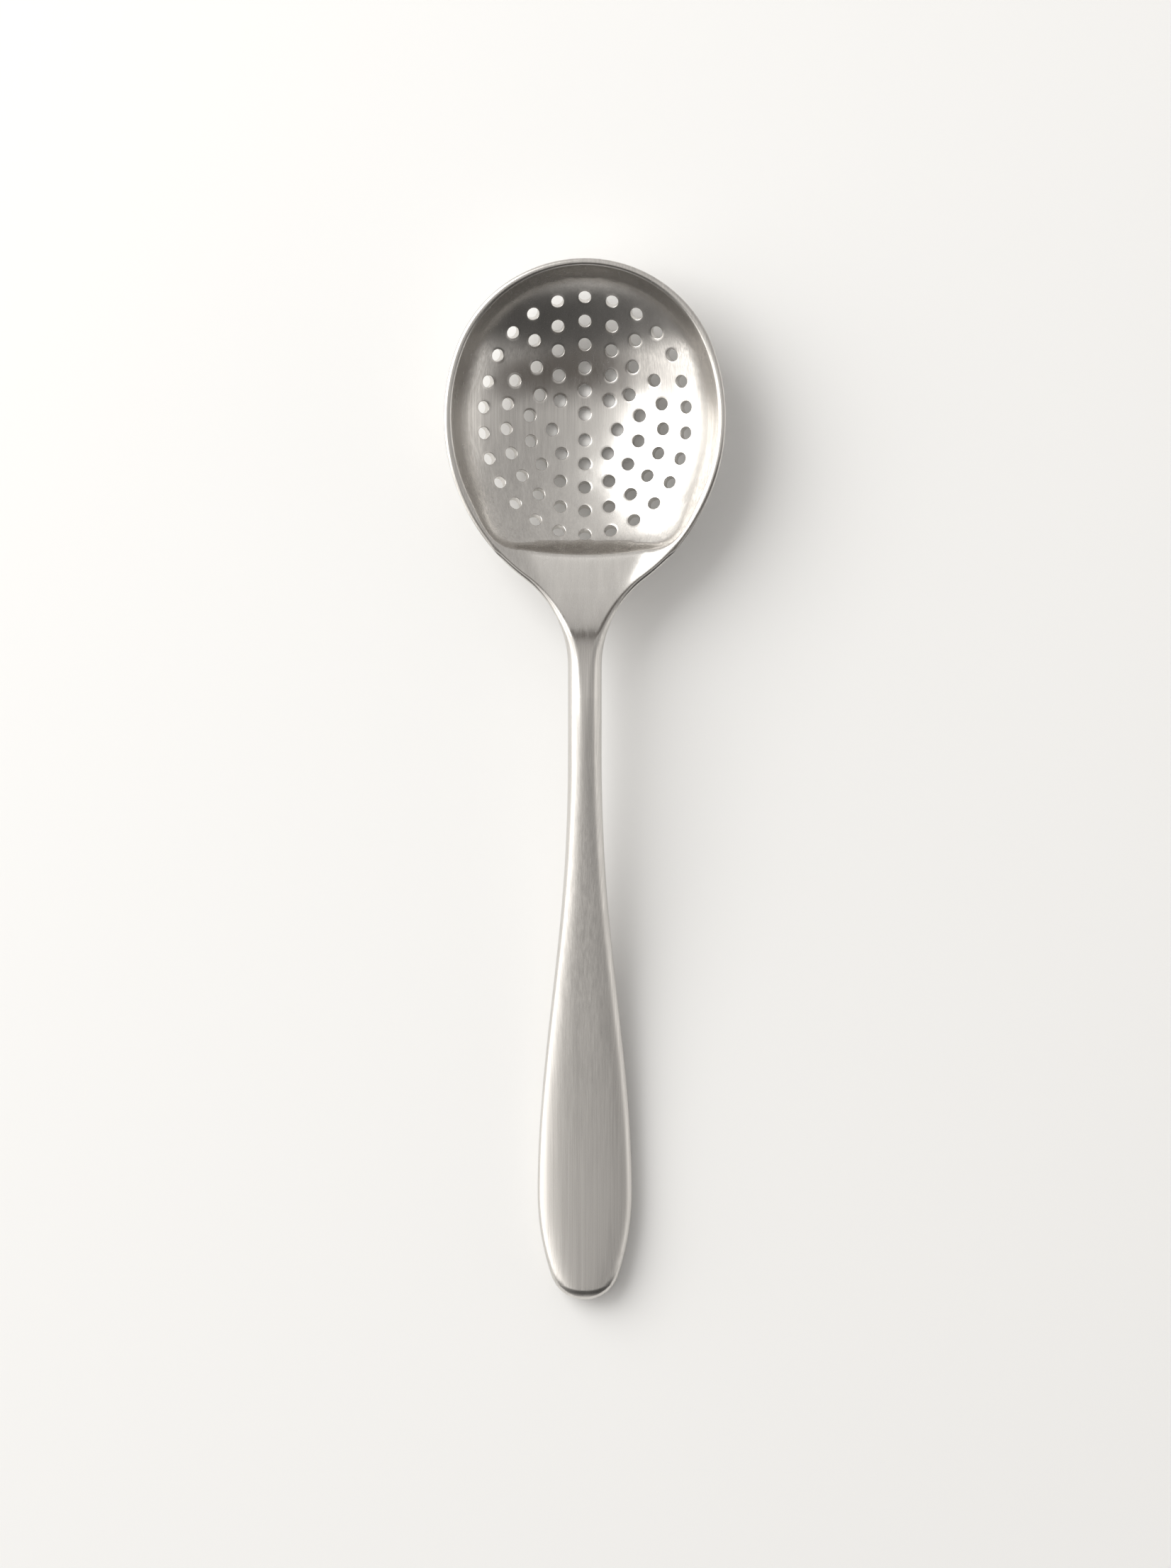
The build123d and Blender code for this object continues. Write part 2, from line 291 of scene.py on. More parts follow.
fineness = {
    "across": 36,  # steps from the middle of a section to its edge
    "station": 0.9,  # length of a step along the outline
    "bandSteps": 24,  # steps that the bands along the outline take
    "bandGap": 0.35,  # from the innermost band to the points that fill the sheet
    "joinY": 46.0,  # here the filled sheet goes over into the rows of the stem
    "levelling": 11.0,  # length over which the bands turn straight towards that line
    "joinSliver": 0.01,  # triangles whose middle lies nearer to it than this are left out
    "grid": 1.15,
    "creaseGrid": 0.42,
    "creaseZone": (-4.5, 3.8),  # distances inside the mouth that get the closer grid
    "firstRow": 0.6,  # height of the grid's first row over the join line, in grid steps
    "rowStep": 0.866,  # height of its other rows, so that the triangles have even sides
    "tiltFade": (3.6, 6.0),  # distances inside the mouth over which the under points come square to the top
    "holeSides": 32,
    "holeRing": 0.45,  # from a hole's lip to the ring of loose points around it
    "stemRows": 40,
    "sameSpot": 1e-7,  # points nearer than this, in metres, become one
    "sharpAngle": 60.0,
}
joinY = fineness["joinY"]


def neckHalf(y):
    # Half width of the neck and the stem seen from above
    rise = np.maximum(np.asarray(y, float) - neckY, 0)
    return neckX - np.sqrt(neckRadius**2 - rise**2)


def arcPoints(centre, start, end, spacing):
    # Points from start to end round centre, without the last
    a, b = start - centre, end - centre
    turn = math.atan2(cross(a.x, a.y, b.x, b.y), a.dot(b))
    count = max(2, round(abs(turn) * a.length / spacing))
    base = math.atan2(a.y, a.x)
    angles = [base + turn * i / count for i in range(count)]
    return [centre + a.length * Vector((math.cos(t), math.sin(t))) for t in angles]


def rightStations():
    # Points of the outline from the tip to the right of the join line, and their ways inwards
    tip = Vector((0, tipY))
    tipEnd = sideCentre + (tipCentre - sideCentre).normalized() * sideRadius
    neckStart = sideCentre + (neckCentre - sideCentre).normalized() * sideRadius
    join = Vector((float(neckHalf(joinY)), joinY))
    points, inwards = [], []
    for centre, start, end, side in (
        (tipCentre, tip, tipEnd, -1),
        (sideCentre, tipEnd, neckStart, -1),
        (neckCentre, neckStart, join, 1),
    ):
        arc = arcPoints(centre, start, end, fineness["station"])
        points += arc
        inwards += [(p - centre).normalized() * side for p in arc]
    points.append(join)
    inwards.append((join - neckCentre).normalized())
    return points, inwards


def bandInsets():
    # Distances of the bands from the outline, closest together on its edge
    half = float(neckHalf(joinY))
    lean = abs((half - neckX) / neckRadius)
    steps = np.arange(fineness["bandSteps"] + 1)
    return half * (1 - np.cos(math.pi * steps / 2 / fineness["across"])) * lean


def levelled(point, inward):
    # Close to the join line the bands turn until they run straight across
    turn = float(smoothStep(joinY, joinY + fineness["levelling"], point.y))
    mixed = (inward * turn + Vector((-1, 0)) * (1 - turn)).normalized()
    return mixed / mixed.dot(inward)


class MeshMaker:
    def __init__(self):
        self.points, self.faces = [], []

    def add(self, x, y, z):
        # Gives back the new points' numbers
        start = len(self.points)
        self.points += [Vector(p) * mm for p in zip(*np.broadcast_arrays(x, y, z))]
        return list(range(start, len(self.points)))

    def band(self, a, b):
        # Quads between two rows of the same length, and triangles where the rows meet
        for i in range(len(a) - 1):
            self.faces.append(tuple(dict.fromkeys((a[i], a[i + 1], b[i + 1], b[i]))))

    def bands(self, rows):
        for a, b in zip(rows, rows[1:]):
            self.band(a, b)

    def build(self, name, material, node):
        mesh = bpy.data.meshes.new(name)
        mesh.from_pydata(self.points, [], self.faces)
        shape = bmesh.new()
        shape.from_mesh(mesh)
        bmesh.ops.remove_doubles(shape, verts=shape.verts, dist=fineness["sameSpot"])
        bmesh.ops.recalc_face_normals(shape, faces=shape.faces)
        openEdges = sum(not edge.is_manifold for edge in shape.edges)
        shape.to_mesh(mesh)
        shape.free()
        mesh.shade_smooth()
        mesh.set_sharp_from_angle(angle=math.radians(fineness["sharpAngle"]))
        mesh.materials.append(material)
        piece = bpy.data.objects.new(name, mesh)
        bpy.context.scene.collection.objects.link(piece)
        flatter = piece.modifiers.new("flatter_shading", "WEIGHTED_NORMAL")
        flatter.keep_sharp = True
        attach(piece, "root")
        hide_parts(node)
        print(name, len(mesh.vertices), "vertices,", openEdges, "open edges")


# One middle hole and two fans of nested rows around it
holes = {
    "diameter": 3.0,
    "edgeRound": 0.14,
    "middleFromTip": 36.0,
    "rimToHoles": 8.5,
    "creaseToHoles": 7.2,
    "upper": {
        "counts": (4, 2, 2, 2, 1),  # holes on each side of a row's middle one
        "pitches": (6.6, 6.6, 6.6, 6.6, 6.6),
        "margin": 8.85,  # from the side rim to the outer row
        "steps": (3.6, 5.45),  # from a row to the next one inwards, across and along
        "fromTip": 38.8,  # centre of the outer row's ellipse
        "drift": 1.5,  # how far the next row's centre lies towards the handle
    },
    "lower": {
        "counts": (8, 7, 4, 2, 0),
        "pitches": (6.25, 6.0, 6.15, 6.3, 6.3),
        "margin": 9.25,
        "steps": (5.5, 5.8),
        "fromTip": 37.5,
        "drift": 0.7,
    },
}
lipRadius = holes["diameter"] / 2 + holes["edgeRound"]


def quarterFan(across, along, pitch, count):
    # Points a pitch apart along a quarter ellipse, the first one a pitch from the Y axis
    points, walked, angle, step = [], 0.0, 0.0, 0.002
    while len(points) < count:
        walked += step * math.hypot(across * math.cos(angle), along * math.sin(angle))
        angle += step
        if walked >= pitch * (len(points) + 1):
            points.append((across * math.sin(angle), along * math.cos(angle)))
    return points


def fanHoles(fan, upward, firstY):
    places = []
    stepAcross, stepAlong = fan["steps"]
    for ring, (pitch, count) in enumerate(zip(fan["pitches"], fan["counts"])):
        centre = tipY - fan["fromTip"] - fan["drift"] * ring
        start = firstY - upward * stepAlong * ring
        across = halfBowl - fan["margin"] - stepAcross * ring
        places.append((0, start))
        for x, y in quarterFan(across, abs(start - centre), pitch, count):
            places += [(x, centre + upward * y), (-x, centre + upward * y)]
    return places


def holePlaces():
    middle = [(0, tipY - holes["middleFromTip"])]
    upper = fanHoles(holes["upper"], 1, tipY - holes["rimToHoles"])
    lower = fanHoles(holes["lower"], -1, creaseY + holes["creaseToHoles"])
    return middle + upper + lower


def surfaceNormal(x, y, step=0.05):
    # Direction square to the upper face
    slopeX = (topHeight(x + step, y) - topHeight(x - step, y)) / (2 * step)
    slopeY = (topHeight(x, y + step) - topHeight(x, y - step)) / (2 * step)
    steepness = np.sqrt(1 + slopeX**2 + slopeY**2)
    return -slopeX / steepness, -slopeY / steepness, 1 / steepness


def edgeRounding(y):
    # Width of the rounded edge: narrow on the rim, growing down the neck into the round stem
    rim = sheet["rimRound"]
    return rim + (outline["halfStem"] - rim) * (1 - smoothStep(stem["roundY"], stem["narrowEdgeY"], y))


def edgeProfile(distance, width):
    # A quarter round from 0 on the edge to 1 at width
    share = np.clip(distance / width, 0, 1)
    return np.sqrt(1 - (1 - share) ** 2)


def headEdge(x, y, distance, rimX, rimY):
    # Heights of the two faces near the outline, which meet on it
    top, under = topHeight(x, y), underHeight(x, y)
    middle = (topHeight(rimX, rimY) + underHeight(rimX, rimY)) / 2
    share = edgeProfile(distance, edgeRounding(rimY))
    return middle + (top - middle) * share, middle + (under - middle) * share


def headBands(maker):
    # Rows of points that follow the outline from left to right, from its edge inwards, on both faces
    points, inwards = rightStations()
    right = [(p, levelled(p, n)) for p, n in zip(points, inwards)]
    left = [(Vector((-p.x, p.y)), Vector((-d.x, d.y))) for p, d in right[:0:-1]]
    rimX, rimY, stepX, stepY = np.array([(*p, *d) for p, d in left + right]).T
    topRows, underRows = [], []
    for inset in bandInsets():
        x, y = rimX + stepX * inset, rimY + stepY * inset
        top, under = headEdge(x, y, inset, rimX, rimY)
        topRows.append(maker.add(x, y, top))
        underRows.append(maker.add(x, y, under) if inset else topRows[0])
    maker.bands(topRows)
    maker.bands(underRows)
    innermost = list(zip(x, y))
    return topRows, underRows, innermost


def toNearest(points, centres):
    # Each point's distance from the centre that is nearest to it
    gaps = np.hypot(*(points[:, None, :] - centres[None, :, :]).transpose(2, 0, 1))
    return gaps.min(axis=1)


def gridPoints(centres):
    # Points that fill the sheet between the holes, closer together along the crease
    found = []
    margin = bandInsets()[-1] + fineness["bandGap"]
    low, high = fineness["creaseZone"]
    for spacing, nearest, farthest in (
        (fineness["creaseGrid"], low, high),
        (fineness["grid"], high, math.inf),
        (fineness["grid"], -math.inf, low),
    ):
        columns = int(halfBowl * 2 / spacing)
        rows = int((tipY - joinY) / (fineness["rowStep"] * spacing))
        for row in range(rows):
            x = (np.arange(columns) - columns / 2 + row % 2 / 2) * spacing
            y = np.full_like(x, joinY + spacing * (fineness["firstRow"] + fineness["rowStep"] * row))
            mouth = mouthDistance(x, y)
            inside = (mouth >= nearest) & (mouth < farthest) & (edgeDistance(x, y) > margin)
            found += list(zip(x[inside], y[inside]))
    found = np.array(found)
    return found[toNearest(found, centres) > lipRadius + 2 * fineness["holeRing"]]


def ringAround(x, y):
    # Loose points around a hole, which keep the triangles beside its lip small
    reach = lipRadius + fineness["holeRing"]
    count = fineness["holeSides"] // 4 * 3
    angles = [2 * math.pi * i / count for i in range(count)]
    return [(x + reach * math.cos(a), y + reach * math.sin(a)) for a in angles]


def holeWall(maker, x, y, normal):
    # A punched hole, square to the sheet, with rounded lips. Gives back its plan and its outer rings.
    sides, rounding = fineness["holeSides"], holes["edgeRound"]
    across = Vector((1, 0, 0)).cross(normal).normalized()
    front = normal.cross(across)
    angles = [2 * math.pi * i / sides for i in range(sides)]
    circle = [(front * math.cos(a) + across * math.sin(a)) * lipRadius for a in angles]
    planX, planY = np.array([(x + p.x, y + p.y) for p in circle]).T
    through = normal * sheet["thickness"]
    rings = []
    for side, height, shift in ((1, topHeight, Vector()), (-1, underHeight, through)):
        ringX, ringY = planX - shift.x, planY - shift.y
        ring = np.array([ringX, ringY, height(ringX, ringY)])
        middle = ring.mean(axis=1, keepdims=True)
        rows = []
        for degrees in (0, 30, 60, 90):
            turn = math.radians(degrees)
            shrink = 1 - rounding / lipRadius * math.sin(turn)
            sink = np.array(normal)[:, None] * rounding * (1 - math.cos(turn)) * side
            rows.append(maker.add(*(middle + (ring - middle) * shrink - sink)))
        rings.append(rows)
    closed = [row + row[:1] for row in rings[0] + rings[1][::-1]]
    maker.bands(closed)
    return list(zip(planX, planY)), rings[0][0], rings[1][0]


def joinLine():
    # Places across the join line between the bands, from right to left
    steps = fineness["across"] - fineness["bandSteps"]
    shares = np.arange(steps - 1, -steps, -1) / fineness["across"]
    return float(neckHalf(joinY)) * np.sin(math.pi / 2 * shares)


def loopEdges(start, count):
    # Edges of a closed ring of points, numbered from start
    return [(start + i, start + (i + 1) % count) for i in range(count)]


def addTriangles(maker, plan, edges, owners, top, under):
    # Joins the plan's points, once for each face. Points of one hole have no sheet between them.
    insideOnly, tolerance = 1, 1e-6
    joined = delaunay_2d_cdt([Vector(p) for p in plan], edges, [], insideOnly, tolerance)
    corners, _, triangles, origins, _, _ = joined
    for triangle in triangles:
        ids = [origins[i][0] for i in triangle]
        inHole = owners[ids[0]] is not None and len({owners[i] for i in ids}) == 1
        sliver = sum(corners[i].y for i in triangle) / 3 < joinY + fineness["joinSliver"]
        if not inHole and not sliver:
            maker.faces.append(tuple(top[i] for i in ids))
            maker.faces.append(tuple(under[i] for i in ids))


def fillHead(maker, top, under, plan):
    # The sheet inside the bands: one plan of points, raised to the top and the under face
    centres = np.array(holePlaces())
    joinX = joinLine()
    joinTop = maker.add(joinX, joinY, topHeight(joinX, joinY))
    joinUnder = maker.add(joinX, joinY, underHeight(joinX, joinY))
    plan = plan + [(x, joinY) for x in joinX]
    top, under = top + joinTop, under + joinUnder
    edges, owners = loopEdges(0, len(plan)), [None] * len(plan)
    loose = []
    for number, (x, y) in enumerate(centres):
        normal = Vector([float(n) for n in surfaceNormal(x, y)])
        ring, topRing, underRing = holeWall(maker, x, y, normal)
        edges += loopEdges(len(plan), len(ring))
        plan, top, under = plan + ring, top + topRing, under + underRing
        owners += [number] * len(ring)
        loose += ringAround(x, y)
    looseX, looseY = np.vstack((loose, gridPoints(centres))).T
    tiltX, tiltY, _ = surfaceNormal(looseX, looseY)
    shift = smoothStep(*fineness["tiltFade"], mouthDistance(looseX, looseY)) * sheet["thickness"]
    underX, underY = looseX - tiltX * shift, looseY - tiltY * shift
    top = top + maker.add(looseX, looseY, topHeight(looseX, looseY))
    under = under + maker.add(underX, underY, underHeight(underX, underY))
    plan = plan + list(zip(looseX, looseY))
    owners += [None] * len(looseX)
    addTriangles(maker, plan, edges, owners, top, under)
    return joinTop, joinUnder


def acrossShares():
    # From -1 at a section's left edge to 1 at its right edge
    return np.arange(-fineness["across"], fineness["across"] + 1) / fineness["across"]


def stemSections():
    # Sections from the join line to the handle, where the plate thickens into a round stem
    sheetBottom = sheet["rimHeight"] - sheet["thickness"]
    stemBottom = stem["height"] - stem["thickness"] / 2
    sections = []
    for y in np.linspace(joinY, jointY, fineness["stemRows"])[1:]:
        half = float(neckHalf(y))
        x = half * np.sin(math.pi / 2 * acrossShares())
        lean = (neckX - half) / neckRadius
        share = edgeProfile((half - np.abs(x)) * lean, edgeRounding(y))
        thicker = smoothStep(stem["rampStartY"], stem["rampEndY"], y)
        bottom = sheetBottom + (stemBottom - sheetBottom) * thicker
        flat = plateHeight(x, np.full_like(x, y))
        middle = (float(plateHeight(half, y)) + bottom) / 2
        middle += (stem["height"] - middle) * thicker
        upper = middle + (flat - middle) * share
        lower = middle + (bottom - middle) * share
        sections.append((x, y, upper, lower))
    # The shank that plugs into the handle
    clear = stem["wall"] + stem["clearance"]
    x = x * (1 - clear / half)
    shrink = 1 - clear * 2 / stem["thickness"]
    upper = middle + (upper - middle) * shrink
    lower = middle + (lower - middle) * shrink
    sections += [(x, y, upper, lower) for y in (jointY, jointY - stem["shank"])]
    return sections


def headStem(maker, top, under):
    for x, y, upper, lower in stemSections():
        newTop = maker.add(x, y, upper)
        newUnder = [newTop[0]] + maker.add(x[1:-1], y, lower[1:-1]) + [newTop[-1]]
        maker.band(top, newTop)
        maker.band(under, newUnder)
        top, under = newTop, newUnder
    maker.band(top, under)


def buildHead(material):
    maker = MeshMaker()
    topRows, underRows, innermost = headBands(maker)
    joinTop, joinUnder = fillHead(maker, topRows[-1], underRows[-1], innermost)
    rows = []  # the whole join line from left to right, on top and underneath
    for bands, middle in ((topRows, joinTop), (underRows, joinUnder)):
        rows.append([b[0] for b in bands] + middle[::-1] + [b[-1] for b in bands[::-1]])
    headStem(maker, *rows)
    maker.build("spoon_head", material, "perforated_head")


handle = {
    "straight": 13.0,  # length that stays as wide as the stem
    "widening": ((0.34, 0.20), (0.64, 0.66)),  # share of the way, share of the change
    "drop": ((0.35, 0.36), (0.63, 0.79)),
    "endToWidest": 26.0,
    "endTaper": 2.9,  # how much less the end's radius is than the greatest half width
    "endCrown": 3.6,  # length over which the end rounds off
    "squareness": 2.5,  # 2 is an ellipse in section, higher is flatter on top
    "squareY": -50.0,  # where the section has got there from the round stem
    "slimHalf": 1.5,  # below this half width the inner face is drawn in by an even share
    "rows": 90,
    "endRows": 22,
}


def clampedCurve(places, values):
    # Smooth curve through a few points that starts and ends level
    gaps = np.diff(places)
    rise = np.diff(values) / gaps
    count = len(places)
    system, known = np.eye(count), np.zeros(count)
    for i in range(1, count - 1):
        before, after = gaps[i - 1], gaps[i]
        system[i, i - 1 : i + 2] = 1 / before, 2 / before + 2 / after, 1 / after
        known[i] = 3 * (rise[i - 1] / before + rise[i] / after)
    slopes = np.linalg.solve(system, known)

    def curve(at):
        at = np.clip(at, places[0], places[-1])
        i = min(int(np.searchsorted(places, at, side="right")) - 1, count - 2)
        share = (at - places[i]) / gaps[i]
        ease = share * share * (3 - 2 * share)
        bend = gaps[i] * share * (1 - share) * (slopes[i] * (1 - share) - slopes[i + 1] * share)
        return values[i] * (1 - ease) + values[i + 1] * ease + bend

    return curve


def handleCurve(startY, shares, first, last):
    # From first at startY to last at the widest place. It is read at -y, which grows towards the end.
    way, change = np.array(((0, 0), *shares, (1, 1))).T
    places = startY + (widestY - startY) * way
    values = first + (last - first) * change
    return clampedCurve(-places, values)


widestY = endY + handle["endToWidest"]
halfThick = stem["thickness"] / 2
flareCurve = handleCurve(jointY - handle["straight"], handle["widening"], outline["halfStem"], halfPaddle)
dropCurve = handleCurve(jointY, handle["drop"], stem["height"], halfThick)
endRadius = halfPaddle - handle["endTaper"]
endCentreY = endY + endRadius
flankRadius = (halfPaddle**2 + (endCentreY - widestY) ** 2 - endRadius**2) / (2 * handle["endTaper"])
turnY = widestY + (endCentreY - widestY) * flankRadius / (flankRadius - endRadius)


def handleHalf(y):
    # Half width of the handle seen from above
    if y < turnY:
        return math.sqrt(max(endRadius**2 - (y - endCentreY) ** 2, 0))
    if y < widestY:
        return halfPaddle - flankRadius + math.sqrt(flankRadius**2 - (y - widestY) ** 2)
    return float(flareCurve(-y))


def handlePlaces(crownY):
    # Even steps down to the crown, and then steps that get shorter towards the end
    places = list(np.linspace(jointY, crownY, handle["rows"]))
    for step in range(1, handle["endRows"] + 1):
        places.append(crownY - handle["endCrown"] * math.sin(math.pi / 2 * step / handle["endRows"]))
    return places


def handleRows(side, inset):
    # Sections of one shell, side 1 for the upper and -1 for the lower one, drawn in by inset
    crownY = endY + handle["endCrown"]
    across = np.sin(math.pi / 2 * acrossShares())
    outwards = np.abs(across)
    scale = 1 - inset / halfThick
    rows = []
    for y in handlePlaces(crownY):
        half = handleHalf(y)
        past = max(crownY - y, 0) / handle["endCrown"]
        square = 1 - smoothStep(handle["squareY"], stem["roundY"], y)
        power = 2 + (handle["squareness"] - 2) * square
        level = halfThick * max(1 - past**power, 0) ** (1 / power)
        profile = np.maximum(1 - outwards**power, 0) ** (1 / power)
        if y > stem["roundY"]:
            profile = edgeProfile((1 - outwards) * half, edgeRounding(y))
        x = half * across * max(1 - inset / max(half, handle["slimHalf"]), 0)
        z = float(dropCurve(-y)) + side * level * profile * scale
        rows.append((x, y + inset * past, z))
    return rows


def buildShell(side, name, node, material):
    maker = MeshMaker()
    outer = [maker.add(*row) for row in handleRows(side, 0)]
    inner = [maker.add(*row) for row in handleRows(side, stem["wall"])]
    maker.bands(outer)
    maker.bands(inner)
    for edge in (0, -1):
        maker.band([row[edge] for row in outer], [row[edge] for row in inner])
    maker.band(outer[0], inner[0])
    maker.build(name, material, node)


steel = {
    "colour": (0.66, 0.64, 0.613),
    "roughness": 0.235,
    "roughnessSpread": 0.05,
    "brushing": 0.6,  # how much wider a reflection is across the brushing than along it
    "streaksAcross": 2600.0,  # noise steps per metre, so fine lines run along the spoon
    "streaksAlong": 9.0,
    "streakDetail": 4.0,
    "streakContrast": 0.13,
    "blotchAcross": 420.0,
    "blotchAlong": 22.0,
    "blotchDetail": 3.0,
    "blotchContrast": 0.06,
    "noiseRoughness": 0.65,
    "noiseRange": (0.3, 0.7),  # most of the noise lies between these
    "scratchDepth": 0.000004,  # metres
}


def newMaterial(name, surface="ShaderNodeBsdfPrincipled"):
    material = bpy.data.materials.new(name)
    material.use_nodes = True
    tree = material.node_tree
    tree.nodes.clear()
    output = tree.nodes.new("ShaderNodeOutputMaterial")
    shader = tree.nodes.new(surface)
    tree.links.new(shader.outputs[0], output.inputs["Surface"])
    return material, tree, shader


def stretchedNoise(tree, across, along, detail):
    # Noise that is drawn out along the spoon, around 0.5
    place = tree.nodes.new("ShaderNodeTexCoord")
    stretch = tree.nodes.new("ShaderNodeMapping")
    stretch.inputs["Scale"].default_value = (across, along, across)
    noise = tree.nodes.new("ShaderNodeTexNoise")
    noise.inputs["Scale"].default_value = 1.0
    noise.inputs["Detail"].default_value = detail
    noise.inputs["Roughness"].default_value = steel["noiseRoughness"]
    tree.links.new(place.outputs["Object"], stretch.inputs["Vector"])
    tree.links.new(stretch.outputs["Vector"], noise.inputs["Vector"])
    return noise.outputs["Fac"]


def scaled(tree, noise, low, high):
    # Carries the noise's usual range over to the range from low to high
    spread = tree.nodes.new("ShaderNodeMapRange")
    usual = steel["noiseRange"]
    for name, value in zip(("From Min", "From Max", "To Min", "To Max"), (*usual, low, high)):
        spread.inputs[name].default_value = value
    tree.links.new(noise, spread.inputs["Value"])
    return spread.outputs["Result"]


def multiplied(tree, a, b):
    times = tree.nodes.new("ShaderNodeMath")
    times.operation = "MULTIPLY"
    tree.links.new(a, times.inputs[0])
    tree.links.new(b, times.inputs[1])
    return times.outputs["Value"]


def tinted(tree, colour, brightness):
    tint = tree.nodes.new("ShaderNodeVectorMath")
    tint.operation = "SCALE"
    tint.inputs[0].default_value = colour
    tree.links.new(brightness, tint.inputs["Scale"])
    return tint.outputs["Vector"]


def brushedSteel(name):
    material, tree, shader = newMaterial(name)
    streaks = stretchedNoise(tree, steel["streaksAcross"], steel["streaksAlong"], steel["streakDetail"])
    blotches = stretchedNoise(tree, steel["blotchAcross"], steel["blotchAlong"], steel["blotchDetail"])
    streak, blotch = steel["streakContrast"], steel["blotchContrast"]
    fine = scaled(tree, streaks, 1 - streak, 1 + streak)
    broad = scaled(tree, blotches, 1 - blotch, 1 + blotch)
    colour = tinted(tree, steel["colour"], multiplied(tree, fine, broad))
    tree.links.new(colour, shader.inputs["Base Color"])
    roughness, spread = steel["roughness"], steel["roughnessSpread"]
    dull = scaled(tree, streaks, roughness + spread, roughness - spread)
    tree.links.new(dull, shader.inputs["Roughness"])
    scratches = tree.nodes.new("ShaderNodeBump")
    scratches.inputs["Strength"].default_value = 1.0
    scratches.inputs["Distance"].default_value = steel["scratchDepth"]
    tree.links.new(streaks, scratches.inputs["Height"])
    tree.links.new(scratches.outputs["Normal"], shader.inputs["Normal"])
    shader.inputs["Metallic"].default_value = 1.0
    shader.inputs["Anisotropic"].default_value = steel["brushing"]
    across = tree.nodes.new("ShaderNodeCombineXYZ")
    across.inputs["X"].default_value = 1.0
    tree.links.new(across.outputs["Vector"], shader.inputs["Tangent"])
    return material


headSteel = brushedSteel("brushed_head")
handleSteel = brushedSteel("brushed_handle")
buildHead(headSteel)
buildShell(1, "handle_upper", "handle_upper_shell", handleSteel)
buildShell(-1, "handle_lower", "handle_lower_shell", handleSteel)
print("head and handle built")

# From here on the sizes are metres
table = {"colour": (0.92, 0.918, 0.91), "size": 6.0, "roughness": 0.9, "specular": 0.1}


def addTable():
    bpy.ops.mesh.primitive_plane_add(size=table["size"])
    top = bpy.context.object
    top.name = "table_top"
    material, _, shader = newMaterial("table")
    shader.inputs["Base Color"].default_value = (*table["colour"], 1)
    shader.inputs["Roughness"].default_value = table["roughness"]
    shader.inputs["Specular IOR Level"].default_value = table["specular"]
    top.data.materials.append(material)


addTable()

window = {
    "elevation": 40.0,
    "bearing": 35.0,  # degrees from the left towards the tip
    "distance": 1.3,
    "size": (1.05, 1.05),
    "power": 11.5,
    "colour": (1.0, 1.0, 0.99),
}


def addWindow():
    data = bpy.data.lights.new("window", "AREA")
    data.shape = "RECTANGLE"
    data.size, data.size_y = window["size"]
    data.energy = window["power"]
    data.color = window["colour"]
    lamp = bpy.data.objects.new("window", data)
    rise, turn = math.radians(window["elevation"]), math.radians(window["bearing"])
    away = Vector((-math.cos(turn) * math.cos(rise), math.sin(turn) * math.cos(rise), math.sin(rise)))
    lamp.location = away * window["distance"]
    lamp.rotation_euler = (-away).to_track_quat("-Z", "Y").to_euler()
    bpy.context.scene.collection.objects.link(lamp)


addWindow()

# Two curves over the lengthwise and the sideways part of a direction, multiplied, light the room
room = {
    "lengthwise": (
        (-1.0, 0.52), (-0.92, 0.30), (-0.8, 0.13), (-0.6, 0.10), (-0.5, 0.12), (-0.42, 0.29),
        (-0.33, 0.60), (-0.22, 0.52), (-0.08, 0.54), (0.0, 0.56), (0.04, 0.71), (0.12, 0.62),
        (0.4, 0.60), (0.85, 0.66), (1.0, 0.66),
    ),
    "sideways": (
        (-1.0, 4.8), (-0.85, 3.1), (-0.67, 2.2), (-0.5, 1.65), (-0.4, 1.4), (-0.2, 1.08), (0.0, 1.0),
        (0.25, 0.90), (0.45, 0.82), (0.7, 0.80), (0.84, 0.92), (0.93, 1.55), (1.0, 1.9),
    ),
    "colour": (1.0, 0.975, 0.945),
    "backdrop": (0.90, 0.90, 0.895),  # what the camera sees past the table
}


def placeParts(tree, space):
    # X, Y and Z of the place on a piece or, for the room, of the direction
    place = tree.nodes.new("ShaderNodeTexCoord")
    split = tree.nodes.new("ShaderNodeSeparateXYZ")
    tree.links.new(place.outputs[space], split.inputs["Vector"])
    return split.outputs


def brightnessRamp(tree, direction, stops):
    # From the direction's part, -1 to 1, to a brightness
    along = tree.nodes.new("ShaderNodeMapRange")
    along.inputs["From Min"].default_value = -1.0
    tree.links.new(direction, along.inputs["Value"])
    ramp = tree.nodes.new("ShaderNodeFloatCurve")
    curve = ramp.mapping.curves[0]
    ramp.mapping.use_clip = False
    for i, (place, value) in enumerate(stops):
        if i < 2:  # a new curve has two points already
            point = curve.points[i]
            point.location = (place / 2 + 0.5, value)
        else:
            point = curve.points.new(place / 2 + 0.5, value)
        point.handle_type = "AUTO_CLAMPED"
    ramp.mapping.update()
    tree.links.new(along.outputs["Result"], ramp.inputs["Value"])
    return ramp.outputs["Value"]


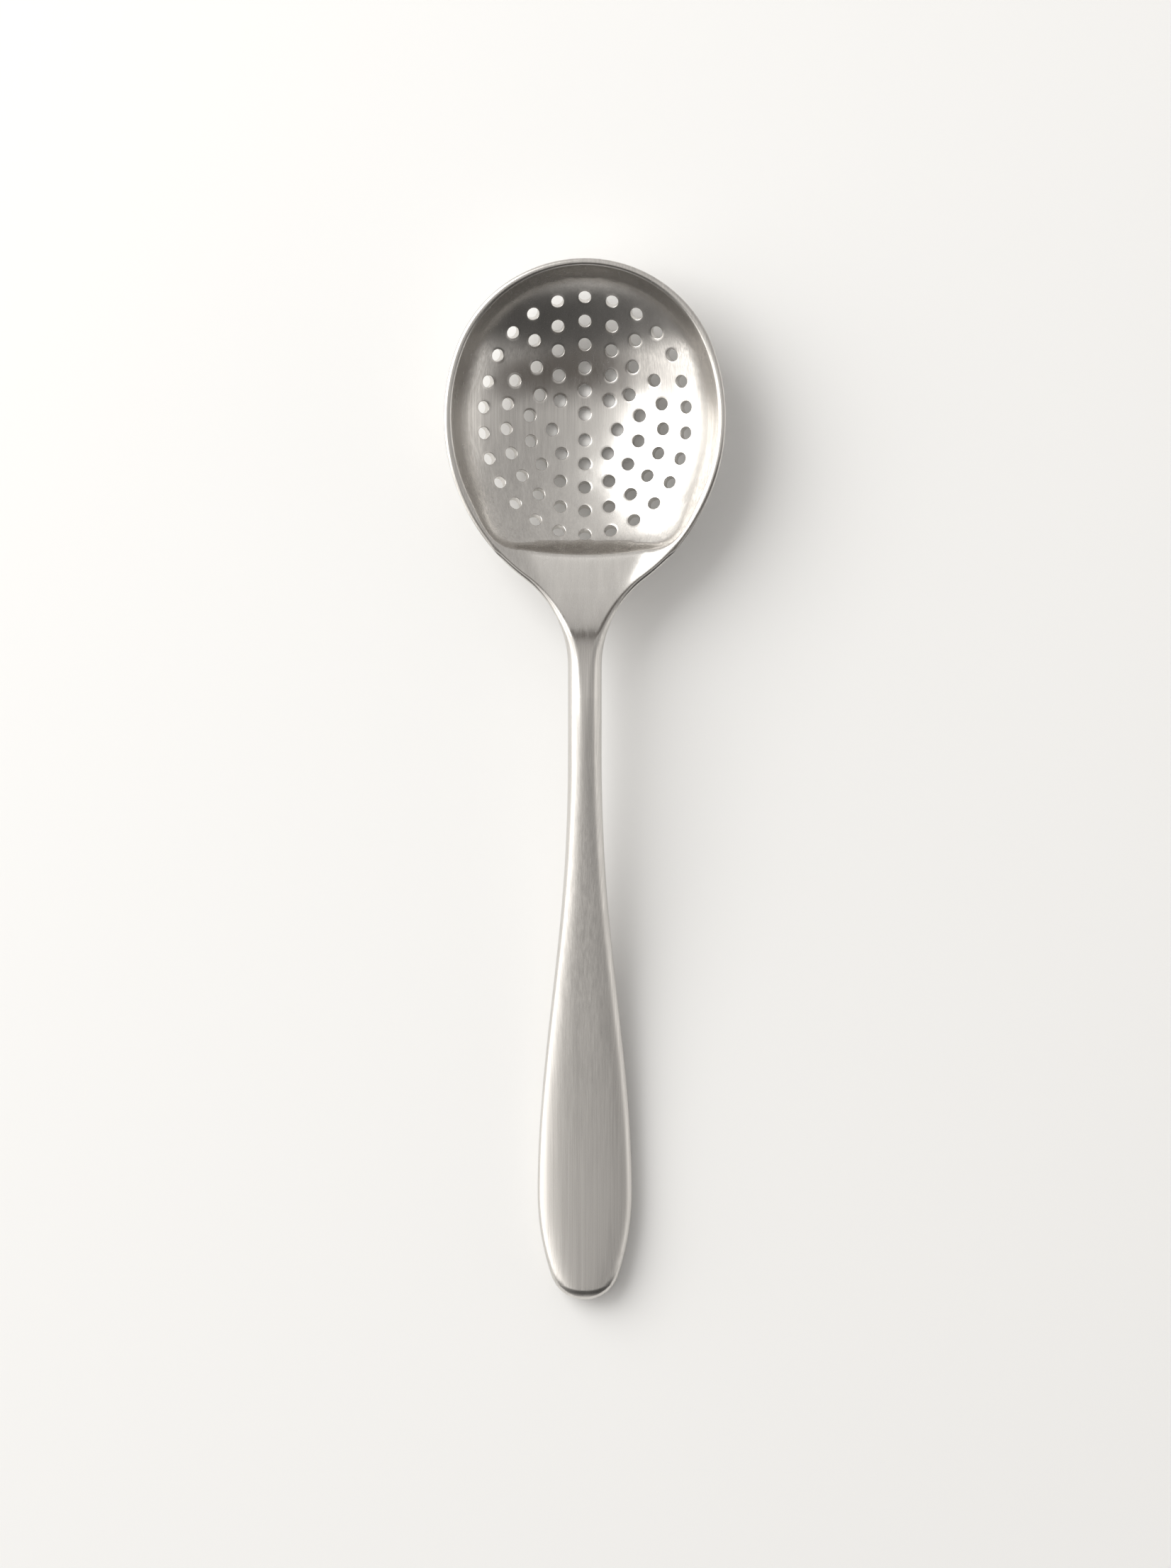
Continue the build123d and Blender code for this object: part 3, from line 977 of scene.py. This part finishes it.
def addRoom():
    sky = bpy.data.worlds.new("studio")
    bpy.context.scene.world = sky
    sky.use_nodes = True
    tree = sky.node_tree
    direction = placeParts(tree, "Generated")
    lengthwise = brightnessRamp(tree, direction["Y"], room["lengthwise"])
    sideways = brightnessRamp(tree, direction["X"], room["sideways"])
    light = tinted(tree, room["colour"], multiplied(tree, lengthwise, sideways))
    seen = tree.nodes.new("ShaderNodeLightPath")
    choice = tree.nodes.new("ShaderNodeMix")
    choice.data_type = "RGBA"
    choice.inputs["B"].default_value = (*room["backdrop"], 1)
    tree.links.new(seen.outputs["Is Camera Ray"], choice.inputs["Factor"])
    tree.links.new(light, choice.inputs["A"])
    tree.links.new(choice.outputs["Result"], tree.nodes["Background"].inputs["Color"])


addRoom()

flag = {
    "height": 0.135,
    "nearCorner": (-0.055, 0.043),
    "farCorner": (0.160, 0.080),
    "softness": 0.005,  # half the width over which its edges fade
    "colour": (0.11, 0.098, 0.088),
}


def flagMaterial():
    # Dark inside the corners and clear outside them
    material, tree, mix = newMaterial("flag", "ShaderNodeMixShader")
    place = placeParts(tree, "Object")
    soft = flag["softness"]
    cover = None
    for axis, name in enumerate("XY"):
        for corner, way in (("nearCorner", 1), ("farCorner", -1)):
            edge = flag[corner][axis]
            fade = tree.nodes.new("ShaderNodeMapRange")
            fade.interpolation_type = "SMOOTHSTEP"
            fade.inputs["From Min"].default_value = edge - way * soft
            fade.inputs["From Max"].default_value = edge + way * soft
            tree.links.new(place[name], fade.inputs["Value"])
            inside = fade.outputs["Result"]
            cover = multiplied(tree, cover, inside) if cover else inside
    clear = tree.nodes.new("ShaderNodeBsdfTransparent")
    dark = tree.nodes.new("ShaderNodeEmission")
    dark.inputs["Color"].default_value = (*flag["colour"], 1)
    tree.links.new(cover, mix.inputs["Fac"])
    tree.links.new(clear.outputs["BSDF"], mix.inputs[1])
    tree.links.new(dark.outputs["Emission"], mix.inputs[2])
    return material


def addFlag():
    # A dark card over the neck that only reflections see
    soft = flag["softness"]
    left, low = (place - soft for place in flag["nearCorner"])
    right, high = (place + soft for place in flag["farCorner"])
    corners = [(left, low, 0), (right, low, 0), (right, high, 0), (left, high, 0)]
    mesh = bpy.data.meshes.new("flag")
    mesh.from_pydata(corners, [], [(0, 1, 2, 3)])
    mesh.materials.append(flagMaterial())
    card = bpy.data.objects.new("flag", mesh)
    card.location.z = flag["height"]
    bpy.context.scene.collection.objects.link(card)
    card.visible_camera = card.visible_diffuse = card.visible_shadow = False
    card.visible_transmission = card.visible_volume_scatter = False


addFlag()
print("stage and lights in place")
